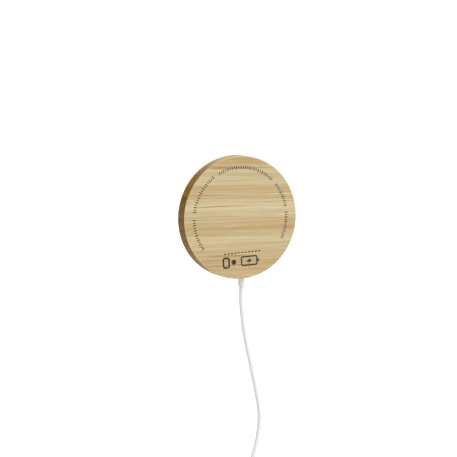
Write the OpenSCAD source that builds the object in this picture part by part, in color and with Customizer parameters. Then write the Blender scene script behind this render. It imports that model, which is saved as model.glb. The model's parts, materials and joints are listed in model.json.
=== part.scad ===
// Round magnetic wireless charging pad in a turned bamboo body, with its cord, wound for storage.
// Millimetres. The origin is the centre of the charging face, +Y is that face's outward normal,
// and the cord leaves the rim downwards, along -Z.

/* [Body] */
// Outside diameter of the bamboo body
pad_d = 60; // [59:0.5:64]
// Thickness from the charging face to the printed back
pad_t = 7.2; // [7.2:0.1:8]
// Radius of the rounded edge around the printed back
back_edge_r = 0.7; // [0.3:0.1:0.8]
// Radius of the rounded edge around the charging face
front_edge_r = 0.3; // [0.2:0.1:0.5]
// Wall thickness beside the charging cap
rim_t = 1.6; // [1.2:0.1:1.8]
// Wall thickness around the deeper pocket
wall_t = 2.6; // [2.3:0.1:2.8]
// Thickness of the bamboo left behind the electronics
floor_t = 1; // [0.8:0.1:1]

/* [Charging face] */
// Thickness of the plastic cap that faces the phone
cap_t = 1; // [0.9:0.1:1]
// Inside radius of the silicone grip ring
grip_in_r = 22.5; // [20:0.5:23]
// Width of the grip ring
grip_w = 3; // [2:0.5:4]
// Depth of the grip ring's groove
grip_depth = 0.5; // [0.3:0.1:0.6]

/* [Magnets] */
// Inside radius of the magnet ring
magnet_in_r = 22.7; // [22.7:0.1:22.9]
// Radial width of each magnet
magnet_w = 3.6; // [3:0.1:3.6]
// Magnets in each of the three groups
magnets_per_group = 5; // [3:1:6]

/* [Coil] */
// Turns of wire in the charging coil
coil_turns = 11; // [8:1:12]
// Diameter of the coil's stranded wire
coil_wire_d = 0.9; // [0.8:0.05:0.9]
// Radius of the innermost turn
coil_in_r = 10.6; // [10:0.1:10.8]

/* [Cord] */
// Diameter of the cord
cord_d = 2; // [1.8:0.1:2]
// Depth of the cord's axis behind the charging face
cord_depth = 4.2; // [4.2:0.1:4.3]
// Outside diameter of the collar that the cord leaves through
collar_d = 3.1; // [2.9:0.1:3.1]
// How far the collar stands out of the rim
collar_out = 4; // [3:0.5:4]
// Distance between neighbouring turns and layers of the stored coil
store_pitch = 2.05; // [2.05:0.01:2.1]
// Mean radius of the outermost turns of the stored coil
store_out_r = 14.8; // [14.6:0.1:15]

/* [Plug] */
// Length of the plug's moulded grip
plug_grip_len = 19; // [18:0.5:20]
// Width of the plug's moulded grip
plug_grip_w = 15.4; // [15:0.1:16]
// Height of the plug's moulded grip
plug_grip_h = 7.6; // [7.2:0.1:8]
// Length of the plug's strain relief
plug_relief_len = 8; // [7:0.5:8]

/* [Hidden] */
$fn = 96;

// Radii of the pad's round parts
pad_r = pad_d / 2;
rebate_r = pad_r - rim_t;
pocket_r = pad_r - wall_t;
gap = 0.1;
play = 0.05;
cut = 1;
cord_r = cord_d / 2;
collar_r = collar_d / 2;

// Rounded edges of the cap: outside, and where it meets the tape
cap_edge_r = 0.2;
cap_back_edge_r = 0.1;

// Levels through the pad, as depths behind the charging face
tape_t = 0.15;
ledge_z = cap_t + tape_t;
foam_t = 0.3;
coil_z = cap_t + foam_t;
ferrite_z = coil_z + coil_wire_d;
ferrite_t = 0.8;
shield_z = ferrite_z + ferrite_t;
shield_t = 0.2;
web_z = shield_z + shield_t;
web_t = 0.6;
board_z = web_z + web_t;
board_t = 0.8;
parts_z = board_z + board_t;
pocket_z = pad_t - floor_t;

// Coil: its turns lie close against each other and share a thin bond
coil_step = coil_wire_d * 0.96;
coil_out_r = coil_in_r + (coil_turns - 1) * coil_step;
coil_bond_t = coil_wire_d / 4;

// Inner frame: a coil well inside a magnet channel
frame_r = pocket_r - 2 * gap;
board_r = frame_r - 0.6;
well_r = magnet_in_r - 0.9;
channel_in_r = magnet_in_r - gap;
channel_out_r = magnet_in_r + magnet_w + gap;
yoke_t = 0.3;
magnet_z = ledge_z + play;
magnet_t = web_z - yoke_t - magnet_z;

// Three groups of magnets leave a wide gap at the cord and two narrow gaps at the screws
cord_gap_deg = 24;
group_deg = 102.5;
group_starts = [-90 + cord_gap_deg / 2, 90 - group_deg / 2, 270 - cord_gap_deg / 2 - group_deg];
magnet_step_deg = group_deg / magnets_per_group;
magnet_gap_deg = 0.6;
boss_degs = [31.6, 148.4];
boss_at_r = 24.5;

// Screws
shank_r = 0.7;
head_r = 1.2;
head_t = 0.6;
screw_tip_z = 1.7;
screw_slot_w = 0.35;
screw_slot_len = 1.2 * head_r;
screw_hole_r = shank_r + 0.15;

// Slot through the coil stack for the coil's two leads
lead_slot_w = 3.2;
lead_slot_start = coil_in_r - 1.6;
lead_x = 0.8;
lead_down_y = 21.3;
lead_hole_in = lead_down_y - 1;
lead_hole_len = 1.4;
lead_pad_y = 19;
lead_r = 0.4;
lead_bend = 0.9;
lead_on_coil = 1.7;

// Temperature sensor
sensor_hole_r = 1.6;
sensor_r = 1.1;
sensor_h = 1;
sensor_leg_r = 0.18;
sensor_leg_x = 0.5;

// Cable clamp, collar and the notch in the board that clears them
notch_w = 10.8;
notch_y = -21;
tail_end_y = -22.1;
clamp_size = [9.8, 3.2, 1.1];
clamp_y = -24.2;
clamp_hump_w = 4;
clamp_hump_z = 5.8;
clamp_screw_x = 3.6;
flange_r = 1.9;
flange_in = 26.5;
flange_out = 27.3;
collar_end = pad_r + collar_out;
collar_taper = 0.06;
collar_tip_r = 0.25;

// Inner wires: [x at the jacket, depth at the jacket, x at the board]
wire_r = 0.28;
wire_z = parts_z + 0.35;
wire_pad_y = -18.6;
red_route = [-0.5, cord_depth, -3];
black_route = [0.5, cord_depth, 3];
data_routes = [[-0.1, cord_depth - 0.5, -1], [0.1, cord_depth + 0.5, 1]];
joint_h = 0.7;
joint_r = 0.65;
lead_joint_h = 1;
lead_joint_r = 1;

// Board parts: [x, y, length along x, width along y, height]
controller_at = [-8, -2, 5, 5, 0.9];
power_at = [[4, 6, 4.9, 3.9, 1.2], [11, 6, 4.9, 3.9, 1.2], [4, -4, 4.9, 3.9, 1.2]];
capacitor_at = [for (i = [0:3]) [-9 + 4.4 * i, 12.5, 3.2, 2.5, 1.3]];
inductor_at = [12.5, -4, 5, 5, 1.3];
inductor_foot = [5.6, 3, 0.4];
passive_size = [1.6, 0.8, 0.5];
passive_rows = [[-15, 5, 6], [-15, 2.6, 5], [-3, -9, 7], [-3, -11, 7], [-16, -6, 3], [7, 1, 3]];
passive_step = 2.4;
pin_pitch = 1.27;
pin_size = [0.45, 1, 0.25];

// Stored coil of cord, lying in layers on the surface below the pad
surface_z = -142;
store_layers = 4;
store_x = -17.5;
store_y = -1;
store_turns = 3.625;
store_in_r = store_out_r - store_turns * store_pitch;
store_top_z = surface_z + cord_r + (store_layers - 1) * store_pitch;
store_h = cord_d + (store_layers - 1) * store_pitch;

// Tie around the stored coil
tie_w = 5;
tie_t = 0.5;

// Plug, lying on the same surface behind the coil
plug_x = -1;
plug_y = store_y + store_out_r;
plug_z = surface_z + plug_grip_h / 2;
plug_grip_x = plug_x + plug_relief_len;
plug_grip_r = 2.2;
relief_thin_t = 0.5;
relief_thick_t = 1.7;

// The plug's shell has a standard size: 12 by 4.5, with two latch windows in each broad side
plug_shell_x = plug_grip_x + plug_grip_len;
shell_len = 12;
shell_w = 12;
shell_h = 4.5;
shell_t = 0.3;
shell_r = 0.5;
window_size = [2.3, 2.1];
window_at = [5.2, 2.85];
tongue_len = shell_len - 0.6;
tongue_t = 1.9;
contact_start = 1;
contact_w = 1;
contact_t = 0.12;

// The hanging cord's route, from the collar down to the top layer of the stored coil
cord_route = [
    [0, -cord_depth, -collar_end],
    [-0.5, -4.5, -38],
    [-0.9, -5, -42],
    [-1, -5.7, -46.5],
    [-1, -6.3, -51],
    [-0.8, -7, -56],
    [-0.4, -7.6, -61],
    [0.1, -8.2, -66],
    [0.7, -8.9, -71],
    [1.3, -9.5, -76],
    [1.9, -10.2, -81],
    [2.4, -10.8, -86],
    [2.8, -11.4, -90.5],
    [2.9, -12, -95],
    [2.6, -12.6, -99.5],
    [1.6, -13.2, -104],
    [0.3, -13.8, -108.5],
    [-1.4, -14.4, -113],
    [-3, -14.9, -117],
    [-4.6, -15.3, -121],
    [-6.3, -15.6, -125],
    [-8.1, -15.8, -129.2],
    [-10.5, -15.8, -132.3],
    [-13.8, -15.8, -134.2],
    [store_x, store_y - store_out_r, store_top_z]
];

// The short run from the bottom layer of the stored coil up to the plug
lead_route = [
    [store_x, plug_y, surface_z + cord_r],
    [-14, plug_y, -141],
    [-10.5, plug_y, -140.9],
    [-7, plug_y, -140],
    [-4, plug_y, -138.8],
    [plug_x, plug_y, plug_z]
];
tube_sides = 8;
rings_per_step = 2;

// Places children in the pad's own axes: x right, y up, z the depth behind the charging face
module in_pad() {
    rotate([90, 0, 0])
        children();
}

// Turns z outwards along the cord's exit, inside in_pad()
module along_exit() {
    translate([0, 0, cord_depth])
        rotate([90, 0, 0])
            children();
}

// A flat ring or, with in_r at 0, a disc
module ring(in_r, out_r, z, h) {
    translate([0, 0, z])
        difference() {
            cylinder(r = out_r, h = h);
            if (in_r > 0)
                translate([0, 0, -cut])
                    cylinder(r = in_r, h = h + 2 * cut);
        }
}

// A stretch of a flat ring, starting at an angle and turning through another
module ring_arc(in_r, out_r, z, h, start, turn) {
    translate([0, 0, z])
        rotate([0, 0, start])
            rotate_extrude(angle = turn)
                translate([in_r, 0])
                    square([out_r - in_r, h]);
}

// A disc with rounded edges, e0 at depth z0 and e1 at depth z1
module rounded_disc(r, z0, z1, e0, e1) {
    rotate_extrude()
        intersection() {
            union() {
                translate([0, z0])
                    square([r - e0, z1 - z0]);
                translate([0, z0 + e0])
                    square([r, z1 - z0 - e0 - e1]);
                translate([r - e0, z0 + e0])
                    circle(r = e0);
                translate([0, (z0 + z1) / 2])
                    square([r - e1, (z1 - z0) / 2]);
                translate([r - e1, z1 - e1])
                    circle(r = e1);
            }
            translate([0, z0])
                square([r + cut, z1 - z0]);
        }
}

// A block with a rounded outline, centred on x and y
module rounded_block(size, r) {
    linear_extrude(size[2])
        union() {
            square([size[0] - 2 * r, size[1]], center = true);
            square([size[0], size[1] - 2 * r], center = true);
            for (x = [-1, 1], y = [-1, 1])
                translate([x * (size[0] / 2 - r), y * (size[1] / 2 - r)])
                    circle(r = r, $fn = 24);
        }
}

// A screw whose head stands on depth z and whose shank runs towards the charging face
module screw(x, y, z) {
    translate([x, y, z])
        difference() {
            union() {
                cylinder(r = head_r, h = head_t, $fn = 32);
                translate([0, 0, screw_tip_z - z])
                    cylinder(r = shank_r, h = z - screw_tip_z, $fn = 24);
            }
            for (a = [0, 90])
                rotate([0, 0, a])
                    translate([-screw_slot_len / 2, -screw_slot_w / 2, head_t / 2])
                        cube([screw_slot_len, screw_slot_w, head_t]);
        }
}

// Pilot holes for screws, from a depth towards the charging face
module pilot(x, y, z) {
    translate([x, y, screw_tip_z - gap])
        cylinder(r = shank_r, h = z - screw_tip_z + cut, $fn = 24);
}

// A point on the smooth curve through a route, between points i and i + 1
function curve_point(route, i, t) =
    let (
        a = route[max(i - 1, 0)],
        b = route[i],
        c = route[i + 1],
        d = route[min(i + 2, len(route) - 1)]
    )
    (2 * b + (c - a) * t + (2 * a - 5 * b + 4 * c - d) * t * t + (3 * b - a - 3 * c + d) * t * t * t) / 2;

// The curve's points, with the route's own last point at the end
function curve(route, steps) = concat(
    [for (i = [0:len(route) - 2], k = [0:steps - 1]) curve_point(route, i, k / steps)],
    [route[len(route) - 1]]
);

// One ring of a tube around point p, square to direction dir
function tube_ring(p, dir, side, r) =
    let (
        u = cross(dir, side) / norm(cross(dir, side)),
        v = cross(dir, u) / norm(dir)
    )
    [for (k = [0:tube_sides - 1]) p + r * (cos(360 * k / tube_sides) * u + sin(360 * k / tube_sides) * v)];

// A round tube swept along a route that never runs along the vector side
module tube(route, r, side, first_dir, last_dir) {
    path = curve(route, rings_per_step);
    last = len(path) - 1;
    dirs = [for (i = [0:last]) i == 0 ? first_dir : i == last ? last_dir : path[i + 1] - path[i - 1]];
    points = [for (i = [0:last]) each tube_ring(path[i], dirs[i], side, r)];
    sides = [
        for (i = [0:last - 1], k = [0:tube_sides - 1])
            let (n = (k + 1) % tube_sides)
            [
                i * tube_sides + k,
                i * tube_sides + n,
                (i + 1) * tube_sides + n,
                (i + 1) * tube_sides + k
            ]
    ];
    start_cap = [[for (k = [tube_sides - 1:-1:0]) k]];
    end_cap = [[for (k = [0:tube_sides - 1]) last * tube_sides + k]];
    polyhedron(points, concat(sides, start_cap, end_cap));
}

// Turned bamboo cup that holds everything
module bamboo_body() {
    color("burlywood")
        in_pad()
            difference() {
                rounded_disc(pad_r, 0, pad_t, front_edge_r, back_edge_r);
                translate([0, 0, -cut])
                    cylinder(r = rebate_r, h = ledge_z + cut);
                cylinder(r = pocket_r, h = pocket_z);
                along_exit()
                    translate([0, 0, pocket_r - cut])
                        cylinder(r = collar_r, h = wall_t + 2 * cut);
            }
}

// Plastic cap that the phone rests on
module charging_cap() {
    color("whitesmoke")
        in_pad()
            difference() {
                rounded_disc(rebate_r - gap, 0, cap_t, cap_edge_r, cap_back_edge_r);
                ring(grip_in_r, grip_in_r + grip_w, -cut, grip_depth + cut);
            }
}

// Silicone ring, flush with the cap, that stops the phone from sliding
module grip_ring() {
    color("lightgray")
        in_pad()
            ring(grip_in_r + play, grip_in_r + grip_w - play, 0, grip_depth);
}

// Double-sided tape between the cap and the body's ledge
module cap_adhesive_ring() {
    color("dimgray")
        in_pad()
            ring(pocket_r + gap, rebate_r - 2 * gap, cap_t, tape_t);
}

// Foam that presses the coil against its ferrite
module foam_pad() {
    color("slategray")
        in_pad()
            ring(sensor_hole_r, coil_out_r, cap_t, foam_t);
}

// Flat coil of stranded wire
module charging_coil() {
    color("peru")
        in_pad()
            translate([0, 0, coil_z + coil_wire_d / 2])
                rotate_extrude() {
                    for (i = [0:coil_turns - 1])
                        translate([coil_in_r + i * coil_step, 0])
                            circle(r = coil_wire_d / 2, $fn = 24);
                    translate([coil_in_r, -coil_bond_t / 2])
                        square([coil_out_r - coil_in_r, coil_bond_t]);
                }
}

// The coil's two ends, led through the slot and down to the board
module coil_leads() {
    in_z = ferrite_z + lead_r;
    out_z = parts_z + lead_r;
    starts = [[-lead_x, coil_in_r], [lead_x, coil_out_r - lead_on_coil]];
    color("chocolate")
        in_pad()
            for (start = starts)
                tube([
                    [start[0], start[1], in_z],
                    [start[0], lead_down_y - lead_bend, in_z],
                    [start[0], lead_down_y, in_z + lead_bend],
                    [start[0], lead_down_y, out_z - lead_bend],
                    [start[0], lead_down_y - lead_bend, out_z],
                    [start[0], lead_pad_y, out_z]
                ], lead_r, [1, 0, 0], [0, 1, 0], [0, -1, 0]);
}

// Slot through the ferrite and shield that the coil's leads run in
module lead_slot() {
    translate([-lead_slot_w / 2, lead_slot_start, 0])
        cube([lead_slot_w, well_r, pad_t]);
}

// Ferrite disc behind the coil
module ferrite_disc() {
    color("dimgray")
        in_pad()
            difference() {
                ring(sensor_hole_r, well_r - gap, ferrite_z, ferrite_t);
                lead_slot();
            }
}

// Thin metal plate that shields the board from the coil
module shield_plate() {
    color("silver")
        in_pad()
            difference() {
                ring(sensor_hole_r, well_r - gap, shield_z, shield_t);
                lead_slot();
            }
}

// Plastic frame that holds the coil stack, the magnets and the board
module inner_frame() {
    color("gainsboro")
        in_pad()
            difference() {
                ring(0, frame_r, ledge_z, board_z - ledge_z);
                ring(0, well_r, ledge_z - cut, web_z - ledge_z + cut);
                for (start = group_starts)
                    ring_arc(channel_in_r, channel_out_r, ledge_z - cut, web_z - ledge_z + cut,
                        start, group_deg);
                translate([0, 0, web_z - cut])
                    cylinder(r = sensor_hole_r, h = web_t + 2 * cut, $fn = 32);
                translate([-lead_slot_w / 2, lead_hole_in, web_z - cut])
                    cube([lead_slot_w, lead_hole_len, web_t + 2 * cut]);
                for (a = boss_degs)
                    pilot(boss_at_r * cos(a), boss_at_r * sin(a), board_z);
                for (x = [-clamp_screw_x, clamp_screw_x])
                    pilot(x, clamp_y, board_z);
                along_exit()
                    translate([0, 0, -tail_end_y])
                        cylinder(r = cord_r, h = pad_r);
                along_exit()
                    translate([0, 0, flange_in])
                        cylinder(r = flange_r, h = pad_r);
            }
}

// Arc magnets, one group for each stretch of the channel
module ring_magnets() {
    color("lightslategray")
        in_pad()
            for (start = group_starts, i = [0:magnets_per_group - 1])
                ring_arc(magnet_in_r, magnet_in_r + magnet_w, magnet_z, magnet_t,
                    start + i * magnet_step_deg + magnet_gap_deg / 2,
                    magnet_step_deg - magnet_gap_deg);
}

// Steel strips behind the magnets
module magnet_yoke() {
    color("gray")
        in_pad()
            for (start = group_starts)
                ring_arc(magnet_in_r, magnet_in_r + magnet_w, web_z - yoke_t, yoke_t,
                    start + magnet_gap_deg / 2, group_deg - magnet_gap_deg);
}

// Temperature sensor in the middle of the coil, with two legs to the board
module coil_thermistor() {
    color("saddlebrown")
        in_pad() {
            translate([0, 0, coil_z + gap])
                cylinder(r = sensor_r, h = sensor_h, $fn = 32);
            for (x = [-sensor_leg_x, sensor_leg_x])
                translate([x, 0, coil_z + sensor_h])
                    cylinder(r = sensor_leg_r, h = board_z - coil_z - sensor_h, $fn = 16);
        }
}

// Round circuit board, notched around the cable clamp
module circuit_board() {
    color("forestgreen")
        in_pad()
            difference() {
                ring(0, board_r, board_z, board_t);
                translate([-notch_w / 2, notch_y - pad_r, board_z - cut])
                    cube([notch_w, pad_r, board_t + 2 * cut]);
                translate([-lead_slot_w / 2, lead_hole_in, board_z - cut])
                    cube([lead_slot_w, lead_hole_len, board_t + 2 * cut]);
                for (a = boss_degs)
                    translate([boss_at_r * cos(a), boss_at_r * sin(a), board_z - cut])
                        cylinder(r = screw_hole_r, h = board_t + 2 * cut, $fn = 24);
            }
}

// A rounded chip body standing on the board
module chip(at, r) {
    translate([at[0], at[1], parts_z])
        rounded_block([at[2], at[3], at[4]], r);
}

// Charging controller
module controller_chip() {
    color("black")
        in_pad()
            chip(controller_at, 0.3);
}

// Power switches, with their pins
module power_chips() {
    color("darkslategray")
        in_pad()
            for (at = power_at) {
                chip(at, 0.2);
                for (i = [0:3], side = [-1, 1])
                    translate([
                        at[0] + (i - 1.5) * pin_pitch - pin_size[0] / 2,
                        at[1] + side * at[3] / 2 - pin_size[1] / 2,
                        parts_z
                    ])
                        cube(pin_size);
            }
}

// Capacitors that tune the coil
module resonant_capacitors() {
    color("tan")
        in_pad()
            for (at = capacitor_at)
                chip(at, 0.15);
}

// Inductor that smooths the supply
module filter_inductor() {
    color("slategray")
        in_pad() {
            chip(inductor_at, 1.2);
            translate([inductor_at[0], inductor_at[1], parts_z])
                rounded_block(inductor_foot, 0.2);
        }
}

// Rows of small resistors and capacitors
module small_passives() {
    color("sienna")
        in_pad()
            for (row = passive_rows, i = [0:row[2] - 1])
                translate([row[0] + i * passive_step - passive_size[0] / 2, row[1], parts_z])
                    cube(passive_size);
}

// Solder cones where the supply wires and the coil's leads meet the board
module solder_joints() {
    supply_x = concat([red_route[2], black_route[2]], [for (route = data_routes) route[2]]);
    color("silver")
        in_pad() {
            for (x = supply_x)
                translate([x, wire_pad_y, parts_z])
                    cylinder(r1 = joint_r, r2 = joint_r / 2, h = joint_h, $fn = 24);
            for (x = [-lead_x - lead_r, lead_x + lead_r])
                translate([x, lead_pad_y - lead_r, parts_z])
                    cylinder(r1 = lead_joint_r, r2 = lead_joint_r / 2, h = lead_joint_h, $fn = 24);
        }
}

// Screws that hold the board to the frame
module board_screws() {
    color("lightgray")
        in_pad()
            for (a = boss_degs)
                screw(boss_at_r * cos(a), boss_at_r * sin(a), parts_z);
}

// Saddle that grips the cord's jacket
module cable_clamp() {
    color("ivory")
        in_pad()
            difference() {
                union() {
                    translate([-clamp_size[0] / 2, clamp_y - clamp_size[1] / 2, board_z])
                        cube(clamp_size);
                    translate([-clamp_hump_w / 2, clamp_y - clamp_size[1] / 2, board_z])
                        cube([clamp_hump_w, clamp_size[1], clamp_hump_z - board_z]);
                }
                along_exit()
                    translate([0, 0, -clamp_y - clamp_size[1]])
                        cylinder(r = cord_r, h = 2 * clamp_size[1]);
                for (x = [-clamp_screw_x, clamp_screw_x])
                    translate([x, clamp_y, board_z - cut])
                        cylinder(r = screw_hole_r, h = clamp_size[2] + 2 * cut, $fn = 24);
            }
}

// Screws that pull the clamp down
module clamp_screws() {
    color("lightgray")
        in_pad()
            for (x = [-clamp_screw_x, clamp_screw_x])
                screw(x, clamp_y, board_z + clamp_size[2]);
}

// Moulded collar in the rim: a flange inside the wall and a slightly tapered sleeve outside
module cable_collar() {
    color("white")
        in_pad()
            along_exit()
                rotate_extrude($fn = 48)
                    polygon([
                        [cord_r, flange_in],
                        [flange_r, flange_in],
                        [flange_r, flange_out],
                        [collar_r, flange_out],
                        [collar_r, pad_r],
                        [collar_r - collar_taper, collar_end - collar_tip_r],
                        [collar_r - collar_taper - collar_tip_r / 2, collar_end - collar_tip_r / 4],
                        [collar_r - collar_taper - collar_tip_r, collar_end],
                        [cord_r, collar_end]
                    ]);
}

// The end of the cord's jacket, held in the collar and the clamp
module cord_tail() {
    color("gainsboro")
        in_pad()
            along_exit()
                translate([0, 0, -tail_end_y])
                    cylinder(r = cord_r, h = collar_end + tail_end_y, $fn = 48);
}

// One inner wire: it leaves the jacket, bends over the edge of the notch and ends on its joint
module supply_wire(route) {
    spread = route[2] - route[0];
    tube([
        [route[0], tail_end_y, route[1]],
        [route[0] + spread * 0.1, notch_y - 0.5, (route[1] + wire_z) / 2],
        [route[0] + spread * 0.4, notch_y + 0.3, wire_z],
        [route[2], wire_pad_y - 0.9, wire_z],
        [route[2], wire_pad_y, wire_z]
    ], wire_r, [0, 0, 1], [0, 1, 0], [0, 1, 0]);
}

// Positive supply wire
module red_wire() {
    color("red")
        in_pad()
            supply_wire(red_route);
}

// Negative supply wire
module black_wire() {
    color("black")
        in_pad()
            supply_wire(black_route);
}

// Two signal wires
module data_wires() {
    color("seagreen")
        in_pad()
            for (route = data_routes)
                supply_wire(route);
}

// The cord where it hangs, from the collar to the stored coil
module power_cord() {
    color("gainsboro")
        tube(cord_route, cord_r, [0, 1, 0], [0, 0, -1], [-1, 0, 0]);
}

// Outline of the stored coil, as a plain ring
module store_ring(grow) {
    translate([store_x, store_y, surface_z])
        rotate_extrude()
            translate([store_in_r - cord_r - grow, 0])
                square([store_out_r - store_in_r + cord_d + 2 * grow, store_h + grow]);
}

// The rest of the cord, wound for storage, with the tie's groove under it
module cord_coil() {
    color("lightgray")
        difference() {
            store_ring(0);
            translate([store_x, store_y - tie_w / 2, surface_z - cut])
                cube([store_out_r + cord_d, tie_w, cut + tie_t]);
        }
}

// The cord between the stored coil and the plug
module plug_lead() {
    color("gainsboro")
        tube(lead_route, cord_r, [0, 1, 0], [1, 0, 0], [1, 0, 0]);
}

// Strap around the stored coil
module cable_tie() {
    low_x = store_x + store_in_r - cord_r;
    span = store_out_r - store_in_r + cord_d;
    color("white")
        difference() {
            translate([low_x - tie_t, store_y - tie_w / 2, surface_z])
                cube([span + 2 * tie_t, tie_w, store_h + tie_t]);
            translate([low_x - tie_t, store_y - tie_w, surface_z + tie_t])
                intersection() {
                    cube([span + 2 * tie_t, 2 * tie_w, store_h - tie_t]);
                    translate([-low_x + tie_t, tie_w - store_y, -surface_z - tie_t])
                        store_ring(0.01);
                }
        }
}

// Tapered relief where the cord enters the plug
module plug_relief() {
    color("gainsboro")
        translate([plug_x, plug_y, plug_z])
            rotate([0, 90, 0])
                cylinder(
                    r1 = cord_r + relief_thin_t, r2 = cord_r + relief_thick_t,
                    h = plug_relief_len, $fn = 48
                );
}

// Moulded grip of the plug
module plug_body() {
    color("gainsboro")
        translate([plug_grip_x, plug_y, plug_z])
            rotate([90, 0, 90])
                rounded_block([plug_grip_w, plug_grip_h, plug_grip_len], plug_grip_r);
}

// Metal shell with its two pairs of latch windows
module plug_shell() {
    color("silver")
        translate([plug_shell_x, plug_y, plug_z])
            difference() {
                rotate([90, 0, 90])
                    rounded_block([shell_w, shell_h, shell_len], shell_r);
                translate([-cut, shell_t - shell_w / 2, shell_t - shell_h / 2])
                    cube([shell_len + 2 * cut, shell_w - 2 * shell_t, shell_h - 2 * shell_t]);
                for (side = [-1, 1])
                    translate([window_at[0], side * window_at[1] - window_size[1] / 2, -shell_h])
                        cube([window_size[0], window_size[1], 2 * shell_h]);
            }
}

// Plastic tongue inside the shell
module plug_tongue() {
    color("white")
        translate([plug_shell_x, plug_y + shell_t - shell_w / 2, plug_z + shell_t - shell_h / 2])
            cube([tongue_len, shell_w - 2 * shell_t, tongue_t]);
}

// Four contacts on the tongue: the outer two are longer
module plug_contacts() {
    pitches = [-3.5, -1, 1, 3.5];
    lengths = [9, 8, 8, 9];
    color("gold")
        translate([
            plug_shell_x + contact_start,
            plug_y - contact_w / 2,
            plug_z + shell_t - shell_h / 2 + tongue_t
        ])
            for (i = [0:3])
                translate([0, pitches[i], 0])
                    cube([lengths[i], contact_w, contact_t]);
}

bamboo_body();
charging_cap();
grip_ring();
cap_adhesive_ring();
foam_pad();
charging_coil();
coil_leads();
ferrite_disc();
shield_plate();
inner_frame();
ring_magnets();
magnet_yoke();
coil_thermistor();
circuit_board();
controller_chip();
power_chips();
resonant_capacitors();
filter_inductor();
small_passives();
solder_joints();
board_screws();
cable_clamp();
clamp_screws();
cable_collar();
cord_tail();
red_wire();
black_wire();
data_wires();
power_cord();
cord_coil();
plug_lead();
cable_tie();
plug_relief();
plug_body();
plug_shell();
plug_tongue();
plug_contacts();
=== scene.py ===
"""The looks of a round magnetic charging pad in turned bamboo, with its light grey cord.

Metres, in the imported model's frame: the charging face lies in the plane y = 0 and faces +Y, the printed
bamboo back faces -Y, and the cord leaves the rim along -Z.
"""

import json
import math

import bmesh
import bpy
from mathutils import Matrix, Vector


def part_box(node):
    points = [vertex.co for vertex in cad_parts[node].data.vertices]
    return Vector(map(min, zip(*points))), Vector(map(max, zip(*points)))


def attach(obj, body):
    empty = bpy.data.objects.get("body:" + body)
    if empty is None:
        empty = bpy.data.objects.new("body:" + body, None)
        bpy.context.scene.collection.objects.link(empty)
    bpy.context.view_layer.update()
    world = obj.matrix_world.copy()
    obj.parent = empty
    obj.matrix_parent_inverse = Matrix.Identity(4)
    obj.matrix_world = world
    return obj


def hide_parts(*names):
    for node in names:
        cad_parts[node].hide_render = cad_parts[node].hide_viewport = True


MM = 0.001

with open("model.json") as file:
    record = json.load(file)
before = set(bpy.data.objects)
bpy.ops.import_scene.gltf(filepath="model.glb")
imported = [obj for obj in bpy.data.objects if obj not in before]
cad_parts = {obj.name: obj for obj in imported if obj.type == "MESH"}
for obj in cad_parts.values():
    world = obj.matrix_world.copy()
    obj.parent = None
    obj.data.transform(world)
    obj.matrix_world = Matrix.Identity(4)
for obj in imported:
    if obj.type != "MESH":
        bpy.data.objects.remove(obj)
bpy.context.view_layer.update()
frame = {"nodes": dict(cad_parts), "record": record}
scene = bpy.context.scene


# ---------------------------------------------------------------- sizes, from the frame

tie_low, tie_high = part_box("cable_tie")
grip_low, grip_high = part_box("plug_body")
relief_low, relief_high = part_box("plug_relief")

# The printed back, and the floor that the stored coil lies on
BACK_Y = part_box("bamboo_body")[0].y
FLOOR_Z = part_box("cord_coil")[0].z


# ---------------------------------------------------------------- camera

# Where the camera stands round the pad, how it is rolled, how far off it is, and its lens
VIEW_AZIMUTH = math.radians(-23.63)
VIEW_ELEVATION = math.radians(7.31)
VIEW_ROLL = math.radians(-2.78)
VIEW_DISTANCE = 1.1
LENS_MM = 177.6
SENSOR_MM = 36
# How far the pad's centre stands right of and above the middle of the picture, at the pad
PAD_OFFSET = (2.93 * MM, 5.95 * MM)


def make_camera():
    """A long lens at the height of the hands, looking at the printed back from its left."""
    back = Vector((
        math.sin(VIEW_AZIMUTH) * math.cos(VIEW_ELEVATION),
        -math.cos(VIEW_AZIMUTH) * math.cos(VIEW_ELEVATION),
        math.sin(VIEW_ELEVATION),
    ))
    level_right = Vector((math.cos(VIEW_AZIMUTH), math.sin(VIEW_AZIMUTH), 0))
    level_up = back.cross(level_right)
    right = level_right * math.cos(VIEW_ROLL) + level_up * math.sin(VIEW_ROLL)
    up = level_up * math.cos(VIEW_ROLL) - level_right * math.sin(VIEW_ROLL)
    camera = bpy.data.objects.new("camera", bpy.data.cameras.new("camera"))
    camera.data.sensor_width = SENSOR_MM
    camera.data.lens = LENS_MM
    camera.data.clip_start = 0.01
    camera.data.clip_end = 50
    place = back * VIEW_DISTANCE - right * PAD_OFFSET[0] - up * PAD_OFFSET[1]
    turn = Matrix((right, up, back)).transposed()
    camera.matrix_world = Matrix.Translation(place) @ turn.to_4x4()
    scene.collection.objects.link(camera)
    scene.camera = camera


make_camera()


# ---------------------------------------------------------------- the cord

CORD_D = 2 * MM
CORD_R = CORD_D / 2
# Points to each stretch of a route, and sides of the tube
ROUTE_STEPS = 6
CORD_SIDES = 16

# The hanging cord, from the collar down to the top layer of the stored coil
CORD_ROUTE_MM = [
    (0, -4.2, -34), (-0.5, -4.5, -38), (-0.9, -5, -42), (-1, -5.7, -46.5),
    (-1, -6.3, -51), (-0.8, -7, -56), (-0.4, -7.6, -61), (0.1, -8.2, -66),
    (0.7, -8.9, -71), (1.3, -9.5, -76), (1.9, -10.2, -81), (2.4, -10.8, -86),
    (2.8, -11.4, -90.5), (2.9, -12, -95), (2.6, -12.6, -99.5), (1.6, -13.2, -104),
    (0.3, -13.8, -108.5), (-1.4, -14.4, -113), (-3, -14.9, -117), (-4.6, -15.3, -121),
    (-6.3, -15.6, -125), (-8.1, -15.8, -129.2), (-10.5, -15.8, -132.3), (-13.8, -15.8, -134.2),
]

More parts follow.
